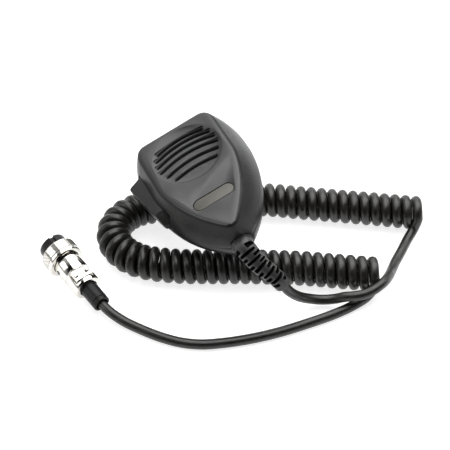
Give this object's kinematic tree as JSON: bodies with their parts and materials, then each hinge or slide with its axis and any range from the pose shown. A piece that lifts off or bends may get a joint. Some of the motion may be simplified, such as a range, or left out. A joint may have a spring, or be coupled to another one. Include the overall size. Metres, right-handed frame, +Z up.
{
  "type": "hand microphone",
  "caption": "Hand microphone with a slotted grille, a push-to-talk lever, a hang stud, a curly cord and a screw-ring plug.",
  "frame": {"origin": "centre of the microphone's box, without its cord and plug, as it lies on the table", "axes": "+Z up from the table, +Y along the microphone towards its flat top end, +X towards its raised side"},
  "size_m": [0.1832, 0.1073, 0.0582],
  "materials": {
    "face_plastic": "fine matte grain",
    "shell_plastic": "satin moulded grain",
    "lever_plastic": "smooth matte",
    "badge": "satin enamel, blank",
    "grille_cloth": "open black weave",
    "rubber": "matte moulded rubber",
    "cord_jacket": "satin jacket",
    "nickel": "bright plating",
    "steel": "zinc-plated",
    "brass": "bright",
    "board": "green solder mask",
    "black_moulding": "plain"
  },
  "bodies": {
    "root": {"front_shell": "face_plastic", "rear_shell": "shell_plastic", "name_badge": "badge", "grille_cloth": "grille_cloth", "mic_capsule": "steel", "capsule_grommet": "rubber", "capsule_lead_1": "brass", "capsule_lead_2": "brass", "circuit_board": "board", "board_screw_1": "steel", "board_screw_2": "steel", "capacitor_1": "steel", "capacitor_2": "steel", "amplifier_chip": "black_moulding", "cord_header": "black_moulding", "talk_switch": "black_moulding", "lever_pin": "steel", "lever_spring": "steel", "case_screw_1": "steel", "case_screw_2": "steel", "case_screw_3": "steel", "case_screw_4": "steel", "hang_stud": "steel", "stud_screw": "steel", "stud_nut": "brass", "cord_clamp": "steel", "cord_end": "cord_jacket", "cord_boot": "rubber", "mic_side_tail": "cord_jacket", "coil_far_run": "cord_jacket", "coil_bend": "cord_jacket", "coil_near_run": "cord_jacket", "plug_side_tail": "cord_jacket", "socket_contact_1": "brass", "socket_contact_2": "brass", "socket_contact_3": "brass", "socket_contact_4": "brass", "socket_contact_5": "brass", "socket_contact_6": "brass", "socket_contact_7": "brass", "plug_insert": "black_moulding", "plug_barrel": "nickel", "cord_saddle": "nickel", "saddle_screw_1": "nickel", "saddle_screw_2": "nickel", "insert_screw": "steel", "plug_sleeve": "rubber"},
    "talk_lever": {"talk_lever": "lever_plastic"},
    "plunger": {"switch_plunger": "black_moulding"},
    "ring": {"coupling_ring": "nickel"}
  },
  "joints": [
    {"name": "talk_press", "type": "hinge", "parent": "root", "child": "talk_lever", "pos_m": [-0.01648, 0.0066, -0.00293], "axis": [0.3502, 0, -0.9367], "range_deg": [0, 5], "stiffness_Nm_per_rad": 0.25, "springref_deg": -6.88, "deforming": ["lever_spring"]},
    {"name": "plunger_slide", "type": "slide", "parent": "root", "child": "plunger", "axis": [0.9367, 0, 0.3502], "range_m": [0, 0.0021]},
    {"name": "ring_turn", "type": "hinge", "parent": "root", "child": "ring", "pos_m": [-0.06845, 0.02926, -0.0282], "axis": [-0.2235, 0.9681, 0.1132], "continuous": true}
  ],
  "couplings": [
    {"joint": "plunger_slide", "follows": "talk_press", "m_per_rad": 0.023}
  ]
}
